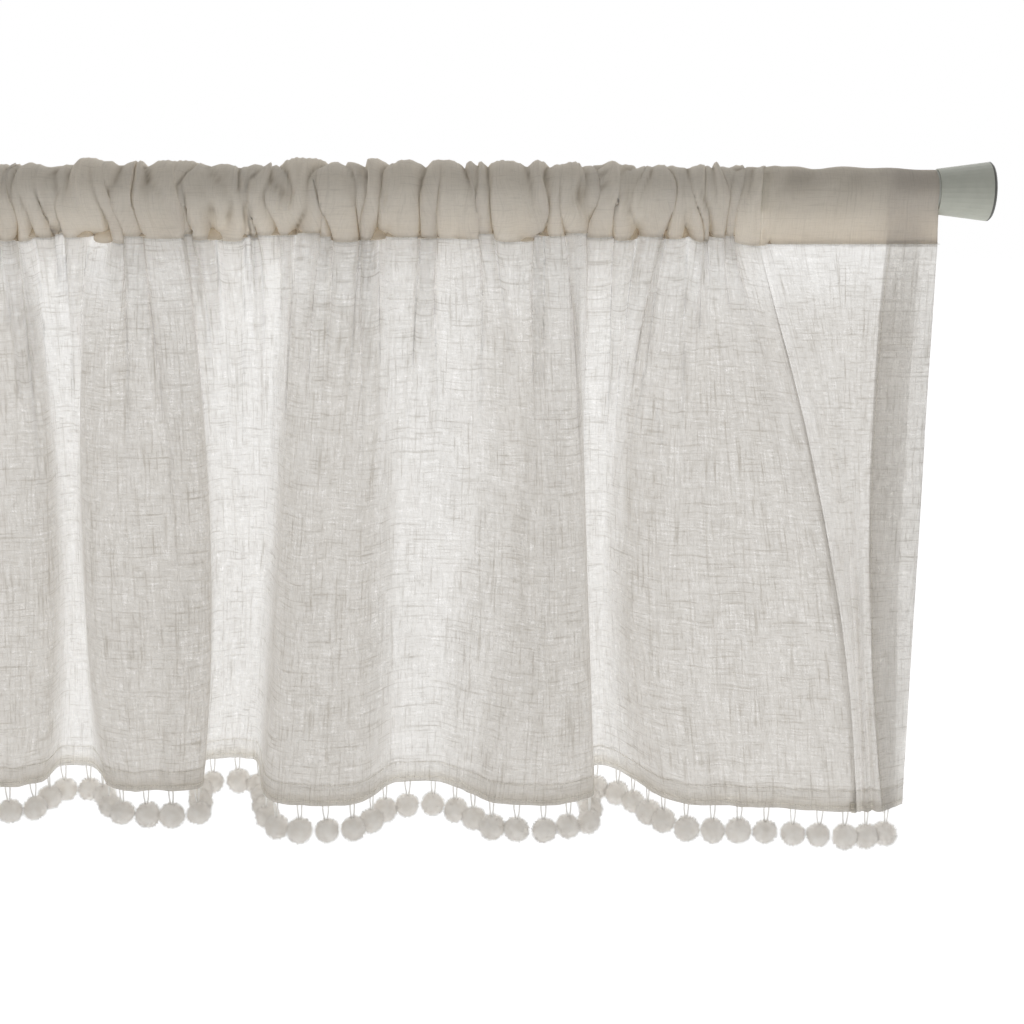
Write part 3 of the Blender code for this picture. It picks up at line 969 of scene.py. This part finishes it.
class Recipe(Graph):
    """A geometry node tree with named inputs, run once on a source mesh and kept as a plain mesh."""

    def __init__(self, name: str, sizes: dict[str, float | int]) -> None:
        """Makes the tree and its inputs.

        Args:
            name: the tree's name.
            sizes: each named input and its value.
        """
        tree = bpy.data.node_groups.new(name, "GeometryNodeTree")
        tree.interface.new_socket("Geometry", in_out="INPUT", socket_type="NodeSocketGeometry")
        tree.interface.new_socket("Geometry", in_out="OUTPUT", socket_type="NodeSocketGeometry")
        self.sizes = sizes
        self.sockets = {}
        for label, value in sizes.items():
            kind = "NodeSocketInt" if isinstance(value, int) else "NodeSocketFloat"
            self.sockets[label] = tree.interface.new_socket(label, in_out="INPUT", socket_type=kind)
        super().__init__(tree)
        self.given = self.add("NodeGroupInput").outputs

    def keep(
        self, source: bpy.types.Object, result: bpy.types.NodeSocket, material: bpy.types.Material
    ) -> bpy.types.Object:
        """Ends the tree, runs it on the source, and keeps the result as a plain mesh.

        Args:
            source: the object that the tree reads, which is removed.
            result: the geometry to keep.
            material: its finish.

        Returns:
            The finished object, under the source's name.
        """
        real = self.add("GeometryNodeRealizeInstances", {"Geometry": result}).outputs[0]
        dressed = self.add("GeometryNodeSetMaterial", {"Geometry": real, "Material": material}).outputs[0]
        self.add("NodeGroupOutput", {"Geometry": dressed})
        modifier = source.modifiers.new("recipe", "NODES")
        modifier.node_group = self.tree
        for label, socket in self.sockets.items():
            modifier[socket.identifier] = self.sizes[label]
        graph = bpy.context.evaluated_depsgraph_get()
        mesh = bpy.data.meshes.new_from_object(source.evaluated_get(graph))
        name = source.name
        bpy.data.objects.remove(source)
        made = bpy.data.objects.new(name, mesh)
        made.name = name
        mesh.name = name
        bpy.context.scene.collection.objects.link(made)
        return made


def finish_piece(thing: bpy.types.Object) -> bpy.types.Object:
    """Rides a finished piece on the only body."""
    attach(thing, "root")
    LOG.info("%s: %d faces", thing.name, len(thing.data.polygons))
    return thing


@dataclass
class Panel:
    """The linen panel: body, pocket and all its turned hems, from one cut."""

    cloth: HangingCloth
    finish: LinenFinish = LinenFinish()
    hem_open: float = 0.88
    side_open: float = 0.42
    flap_open: float = 0.40
    tuck_open: float = 0.50
    cut: Span = field(init=False, default=(0.0, 0.0))

    def build(self, groups: Groups) -> bpy.types.Object:
        """Builds the panel's mesh, dresses it and keeps the size of the flat cut.

        Args:
            groups: the shared shader groups.

        Returns:
            The panel.
        """
        rows, columns = self.cloth.turned_rows(), self.cloth.turned_columns()
        r, c = [row[0] for row in rows], [column[0] for column in columns]
        row_gap, column_gap = np.array([row[1] for row in rows]), np.array([column[1] for column in columns])
        behind = row_gap[:, None] + column_gap[None, :]
        front, normal = self.cloth.front[np.ix_(r, c)], self.cloth.normals[np.ix_(r, c)]
        points = (front - normal * behind[:, :, None]).reshape(-1, 3)
        thing = plain_mesh("linen_panel", points, grid_faces(len(rows), len(columns)))
        along, up = np.meshgrid([column[2] for column in columns], [row[2] for row in rows])
        add_cut_map(thing, np.column_stack((along.ravel(), up.ravel())))
        kinds = np.array([kind for kind, share in self.cloth.rows])[r]
        cover = 1 - self.hem_open * (row_gap > 0)[:, None]
        cover = cover * (1 - self.flap_open * (kinds == "back"))[:, None]
        cover = cover * (1 - self.side_open * (column_gap > 0))[None, :]
        cover = cover * (1 - self.tuck_open * self.cloth.lines["tuck"][c])[None, :]
        # Doubled marks the pocket's rows, where the weave is calmer and the colours carry a warm painted shade.
        doubled = np.repeat((kinds != "body")[:, None], len(columns), axis=1)
        attributes = {"shade": self.cloth.shade[np.ix_(r, c)], "cover": cover, "doubled": doubled}
        for name, values in attributes.items():
            attribute = thing.data.attributes.new(name, "FLOAT", "POINT")
            attribute.data.foreach_set("value", values.astype(np.float32).ravel())
        thing.data.materials.append(self.finish.material(groups))
        self.cut = (float(along.max() - along.min()), float(up.max() - up.min()))
        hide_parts("curtain_panel")
        return finish_piece(thing)


@dataclass
class Stitching:
    """Rows of lockstitch on both faces of the cloth."""

    cloth: HangingCloth
    finish: YarnFinish
    pitch: float = 0.0032
    length: float = 0.0024
    radius: float = 0.00014

    def build(self, name: str, rows: Sequence[np.ndarray], groups: Groups) -> bpy.types.Object:
        """Sews one piece of stitching.

        Args:
            name: the piece's name.
            rows: the lines to sew along, as points.
            groups: the shared shader groups.

        Returns:
            The stitches as one mesh.
        """
        points = np.vstack(rows)
        edges, start = [], 0
        for row in rows:
            edges += [(start + i, start + i + 1) for i in range(len(row) - 1)]
            start += len(row)
        source = plain_mesh(name, points, edges)
        recipe = Recipe(name, {"Pitch": self.pitch, "Length": self.length, "Radius": self.radius})
        given = recipe.given
        curve = recipe.add("GeometryNodeMeshToCurve", {"Mesh": given["Geometry"]}).outputs[0]
        inputs = {"Curve": curve, "Length": given["Pitch"]}
        even = recipe.add("GeometryNodeResampleCurve", inputs, mode="LENGTH")
        tangent = recipe.add("GeometryNodeInputTangent").outputs[0]
        turn = recipe.add("FunctionNodeAlignRotationToVector", {"Vector": tangent}, axis="Z")
        inputs = {"Vertices": 5, "Side Segments": 2, "Radius": given["Radius"], "Depth": given["Length"]}
        stitch = recipe.add("GeometryNodeMeshCylinder", inputs, fill_type="TRIANGLE_FAN").outputs["Mesh"]
        inputs = {"Points": even.outputs[0], "Instance": stitch, "Rotation": turn.outputs[0]}
        sewn = recipe.add("GeometryNodeInstanceOnPoints", inputs).outputs[0]
        thing = recipe.keep(source, sewn, self.finish.material(groups))
        return finish_piece(thing)


@dataclass
class PompomTrim:
    """The trim: a woven tape behind the hem, a loop of two strands for each pompom, and the pompoms."""

    cloth: HangingCloth
    tape_finish: YarnFinish
    strand_finish: YarnFinish
    pile_finish: YarnFinish
    seed: int = 23
    tape_height: float = 0.007
    tape_behind: float = 0.0022
    tape_thickness: float = 0.0006
    pitch: float = 0.0172
    drop: float = 0.018
    radius: float = 0.0089
    core_share: float = 0.86
    pile_length: float = 0.0020
    pile_width: float = 0.00018
    pile_density: float = 0.75e6
    strand_radius: float = 0.00050
    strand_gap: float = 0.0017
    strand_top: float = 0.003
    strand_foot: float = 0.0004
    strand_bow: float = 0.0006
    strand_steps: int = 5
    sway: Place = (0.0008, 0.0008, 0.0006)
    lump_scale: float = 260.0
    lump_height: float = 0.0022
    pile_spread: Span = (0.55, 1.15)
    clear: float = 0.0120

    def build(self, groups: Groups) -> list[bpy.types.Object]:
        """Builds the trim, and leaves out a pompom that would hang in the last one's place.

        Args:
            groups: the shared shader groups.

        Returns:
            The tape, the loops and the pompoms.
        """
        low = self.cloth.at(0.0, self.tape_behind)
        places, along = self.cloth.evenly(low, self.pitch)
        kept = [0]
        for which in range(1, len(places)):
            if np.linalg.norm(places[which] - places[kept[-1]]) > self.clear:
                kept.append(which)
        places, along = places[kept], along[kept]
        LOG.info("pompoms: %d", len(kept))
        return [self.tape(groups), self.strands(places, along, groups), self.balls(places, groups)]

    def tape(self, groups: Groups) -> bpy.types.Object:
        """The heading tape, a narrow woven strip sewn behind the hem.

        Args:
            groups: the shared shader groups.

        Returns:
            The tape.
        """
        rises = np.linspace(0.0003, self.tape_height, 5)
        rows = np.stack([self.cloth.at(rise, self.tape_behind) for rise in rises])
        thing = plain_mesh("trim_tape", rows.reshape(-1, 3), grid_faces(*rows.shape[:2]))
        thickness = thing.modifiers.new("thickness", "SOLIDIFY")
        thickness.thickness = self.tape_thickness
        thickness.offset = 0
        graph = bpy.context.evaluated_depsgraph_get()
        mesh = bpy.data.meshes.new_from_object(thing.evaluated_get(graph))
        thing.modifiers.clear()
        thing.data = mesh
        thing.data.materials.append(self.tape_finish.material(groups))
        return finish_piece(thing)

    def strands(self, places: np.ndarray, along: np.ndarray, groups: Groups) -> bpy.types.Object:
        """Two thin strands to each pompom, close together at the ball and apart at the tape.

        Args:
            places: where each pompom's loop leaves the hem.
            along: the direction of the hem at each.
            groups: the shared shader groups.

        Returns:
            The loops as one mesh.
        """
        draw = np.random.default_rng(self.seed)
        points, edges = [], []
        for place, run in zip(places, along):
            for side in (-1, 1):
                apart = self.strand_gap * draw.uniform(0.6, 1.2)
                top = place + run * side * apart + np.array([0, 0, self.strand_top])
                foot = place + run * side * self.strand_foot - np.array([0, 0, self.drop - self.radius * 0.7])
                for step in range(self.strand_steps + 1):
                    share = step / self.strand_steps
                    bow = run * side * self.strand_bow * math.sin(share * math.pi)
                    points.append(top + (foot - top) * share + bow)
                    if step:
                        edges.append((len(points) - 2, len(points) - 1))
        source = plain_mesh("pompom_loops", np.array(points), edges)
        recipe = Recipe("pompom_loops", {"Radius": self.strand_radius, "Sides": 6})
        curve = recipe.add("GeometryNodeMeshToCurve", {"Mesh": recipe.given["Geometry"]}).outputs[0]
        inputs = {"Resolution": recipe.given["Sides"], "Radius": recipe.given["Radius"]}
        round_ = recipe.add("GeometryNodeCurvePrimitiveCircle", inputs, mode="RADIUS").outputs["Curve"]
        inputs = {"Curve": curve, "Profile Curve": round_, "Fill Caps": True}
        tube = recipe.add("GeometryNodeCurveToMesh", inputs)
        thing = recipe.keep(source, tube.outputs[0], self.strand_finish.material(groups))
        return finish_piece(thing)

    def balls(self, places: np.ndarray, groups: Groups) -> bpy.types.Object:
        """The pompoms: a soft core in a thick, short pile.

        Args:
            places: where each pompom's loop leaves the hem.
            groups: the shared shader groups.

        Returns:
            The pompoms as one mesh.
        """
        draw = np.random.default_rng(self.seed + 1)
        sway = np.column_stack([draw.uniform(-1, 1, len(places)) for _ in range(3)])
        centres = places + sway * self.sway - (0, 0, self.drop)
        source = plain_mesh("pompoms", centres, [])
        sizes = {
            "Core radius": self.radius * self.core_share,
            "Pile length": self.pile_length,
            "Pile width": self.pile_width,
            "Pile density": self.pile_density,
            "Seed": self.seed,
        }
        recipe = Recipe("pompoms", sizes)
        given, add = recipe.given, recipe.add

        def vary(low: Place, high: Place, seed: int) -> bpy.types.NodeSocket:
            """A random vector for each instance."""
            inputs = {0: low, 1: high, "Seed": seed}
            return add("FunctionNodeRandomValue", inputs, data_type="FLOAT_VECTOR").outputs[0]

        balls = [
            add("GeometryNodeMeshIcoSphere", {"Radius": given["Core radius"], "Subdivisions": level}).outputs["Mesh"]
            for level in (4, 3)
        ]
        lumps = recipe.noise(add("GeometryNodeInputPosition").outputs[0], self.lump_scale, 2.0)
        lift = recipe.maths("MULTIPLY", recipe.maths("SUBTRACT", lumps, 0.5), self.lump_height)
        inputs = {0: add("GeometryNodeInputNormal").outputs[0], 3: lift}
        outward = add("ShaderNodeVectorMath", inputs, operation="SCALE")
        core, light_core = (
            add("GeometryNodeSetPosition", {"Geometry": ball, "Offset": outward.outputs[0]}).outputs[0]
            for ball in balls
        )
        inputs = {"Mesh": core, "Density": given["Pile density"], "Seed": given["Seed"]}
        roots = add("GeometryNodeDistributePointsOnFaces", inputs, distribute_method="RANDOM")
        inputs = {"Radius Bottom": given["Pile width"], "Depth": given["Pile length"]}
        inputs = {"Vertices": 3, "Radius Top": 0.0, **inputs}
        fibre = add("GeometryNodeMeshCone", inputs, fill_type="NONE").outputs["Mesh"]
        shortest, longest = self.pile_spread
        inputs = {2: shortest, 3: longest, "Seed": 3}
        long = add("FunctionNodeRandomValue", inputs, data_type="FLOAT").outputs[1]
        size = add("ShaderNodeCombineXYZ", {0: 1.0, 1: 1.0, 2: long}).outputs[0]
        inputs = {"Points": roots.outputs["Points"], "Rotation": roots.outputs["Rotation"]}
        pile = add("GeometryNodeInstanceOnPoints", {"Instance": fibre, "Scale": size, **inputs}).outputs[0]
        tilt = vary((-0.55, -0.55, -3.0), (0.55, 0.55, 3.0), 5)
        pile = add("GeometryNodeRotateInstances", {"Instances": pile, "Rotation": tilt}).outputs[0]
        pile = add("GeometryNodeRealizeInstances", {"Geometry": pile}).outputs[0]
        both = add("GeometryNodeJoinGeometry")
        recipe.tree.links.new(pile, both.inputs[0])
        recipe.tree.links.new(light_core, both.inputs[0])
        spin = vary((-3.1, -3.1, -3.1), (3.1, 3.1, 3.1), 8)
        squash = vary((0.92, 0.92, 0.90), (1.05, 1.05, 1.04), 9)
        points = add("GeometryNodeMeshToPoints", {"Mesh": given["Geometry"]}).outputs[0]
        inputs = {"Points": points, "Instance": both.outputs[0], "Rotation": spin, "Scale": squash}
        hung = add("GeometryNodeInstanceOnPoints", inputs).outputs[0]
        thing = recipe.keep(source, hung, self.pile_finish.material(groups))
        thing.data.shade_smooth()
        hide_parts("pompom_trim")
        return finish_piece(thing)


@dataclass
class TensionRod:
    """The rod and its end caps, which keep their CAD shape and get their real finishes."""

    paint: HardFinish
    moulding: HardFinish

    def dress(self, groups: Groups) -> None:
        """Puts the finishes in the CAD nodes' slots."""
        paint, moulding = self.paint.material(groups), self.moulding.material(groups)
        for name, material in (("rod_tube", paint), ("end_cap_right", moulding), ("end_cap_left", moulding)):
            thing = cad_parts[name]
            for slot in thing.material_slots:
                slot.material = material
            LOG.info("%s: dressed", name)


@dataclass(frozen=True)
class Studio:
    """The camera, the soft light and the pale floor."""

    camera_place: Place = (0.175, -0.984, 0.065)
    camera_tilt: float = 75.0
    lens: float = 56.78
    floor_z: float = -1.0
    floor_half: float = 9.0
    depth_span: Span = (-0.25, 0.6)
    height_span: Span = (-0.6, 0.9)
    back_light: float = 1.75
    front_light: float = 0.42
    top_light: float = 0.85
    low_light: float = 1.15

    def camera(self) -> None:
        """Sets up the camera."""
        data = bpy.data.cameras.new("camera")
        data.lens, data.sensor_width = self.lens, 36.0
        thing = bpy.data.objects.new("camera", data)
        thing.location = self.camera_place
        thing.rotation_euler = (math.radians(self.camera_tilt), 0.0, 0.0)
        bpy.context.scene.collection.objects.link(thing)
        bpy.context.scene.camera = thing

    def light(self) -> None:
        """A white surround, brighter behind and below, that the camera sees as plain white."""
        world = bpy.data.worlds.new("studio")
        bpy.context.scene.world = world
        world.use_nodes = True
        graph = Graph(world.node_tree)
        direction = graph.add("ShaderNodeTexCoord").outputs["Generated"]
        parts = graph.add("ShaderNodeSeparateXYZ", {0: direction})
        depth = graph.span(parts.outputs[1], *self.depth_span, self.front_light, self.back_light)
        height = graph.span(parts.outputs[2], *self.height_span, self.low_light, self.top_light)
        level = graph.maths("MULTIPLY", depth, height)
        camera_ray = graph.add("ShaderNodeLightPath").outputs["Is Camera Ray"]
        strength = graph.maths("MULTIPLY_ADD", camera_ray, graph.maths("SUBTRACT", 1.0, level), level)
        background = world.node_tree.nodes["Background"]
        background.inputs["Color"].default_value = (1, 1, 1, 1)
        world.node_tree.links.new(strength, background.inputs["Strength"])

    def floor(self) -> None:
        """A plain pale floor, well below the curtain."""
        half = self.floor_half
        corners = np.array([(-half, -half, 0), (half, -half, 0), (half, half, 0), (-half, half, 0)], float)
        thing = plain_mesh("floor", corners + (0, 0, self.floor_z), [(0, 1, 2, 3)], smooth=False)
        material, graph, surface = new_material("pale_floor")
        place = graph.add("ShaderNodeTexCoord").outputs["Object"]
        tone = graph.span(graph.noise(place, 3.0), 0.3, 0.7)
        colour = graph.blend(tone, (0.90, 0.90, 0.90), (0.93, 0.93, 0.93))
        graph.tree.links.new(colour, surface.inputs["Base Color"])
        graph.tree.links.new(colour, surface.inputs["Emission Color"])
        set_inputs(surface, {"Emission Strength": 0.35, "Roughness": 0.9})
        thing.data.materials.append(material)

    def build(self) -> None:
        """Builds the whole studio."""
        self.camera()
        self.light()
        self.floor()
        bpy.context.scene.view_settings.view_transform = "Standard"


def sew(cloth: HangingCloth, stitching: Stitching, groups: Groups) -> list[bpy.types.Object]:
    """Sews the pocket, the bottom hem, the trim and both side hems.

    Args:
        cloth: the hanging cloth.
        stitching: how the stitches are made.
        groups: the shared shader groups.

    Returns:
        The pieces of stitching.
    """
    face = -0.00015
    pocket_faces, hem_faces = (-0.0002, 0.0018), (face, 0.0014)
    trim_faces, side_faces = (face, 0.0028), (face, 0.0007)
    hem_inset, side_inset, trim_rise = 0.0015, 0.0018, 0.0034
    top = cloth.body_count - 1
    pocket = [cloth.front[top] - cloth.normals[top] * behind for behind in pocket_faces]
    hem = [cloth.at(cloth.bottom_hem - hem_inset, behind) for behind in hem_faces]
    trim = [cloth.at(trim_rise, behind) for behind in trim_faces]
    inner = round((cloth.side_hem - side_inset) / cloth.threads[1])
    sides = []
    for column in (inner, cloth.columns - inner):
        line, normals = cloth.front[: top + 1, column], cloth.normals[: top + 1, column]
        sides += [line - normals * behind for behind in side_faces]
    named = {"pocket_stitches": pocket, "hem_stitches": hem, "trim_stitches": trim, "side_stitches": sides}
    return [stitching.build(name, rows, groups) for name, rows in named.items()]


def main() -> None:
    """Builds every piece in order and reports it."""
    logging.basicConfig(level=logging.INFO, format="%(name)s %(message)s")
    groups = Groups(weave_group(), grain_group())
    Studio().build()
    cloth = HangingCloth()
    panel = Panel(cloth)
    linen = panel.build(groups)
    LOG.info("cut cloth: %.3f x %.3f m", *panel.cut)
    thread = YarnFinish("sewing_thread", (0.92, 0.90, 0.85), (0.86, 0.83, 0.77), 0.5, 0.0006)
    stitches = sew(cloth, Stitching(cloth, thread), groups)
    trim = PompomTrim(
        cloth,
        YarnFinish("tape_cotton", (0.93, 0.91, 0.86), (0.87, 0.84, 0.78), 0.5, 0.0008, cover=0.22),
        YarnFinish("loop_strand", (0.96, 0.955, 0.94), (0.92, 0.91, 0.89), 0.5, 0.0006),
        YarnFinish("pompom_pile", (0.95, 0.935, 0.91), (0.89, 0.865, 0.83), 0.52, 0.0015),
    ).build(groups)
    TensionRod(
        HardFinish("satin_rod_paint", (0.62, 0.63, 0.59), (0.58, 0.59, 0.55), 0.38, 0.004, 0.1),
        HardFinish(
            "matt_cap_moulding",
            (0.440, 0.450, 0.392),
            (0.420, 0.430, 0.374),
            0.55,
            0.0012,
            0.25,
            rim_from=0.4594,
        ),
    ).dress(groups)


if __name__ == "__main__":
    main()
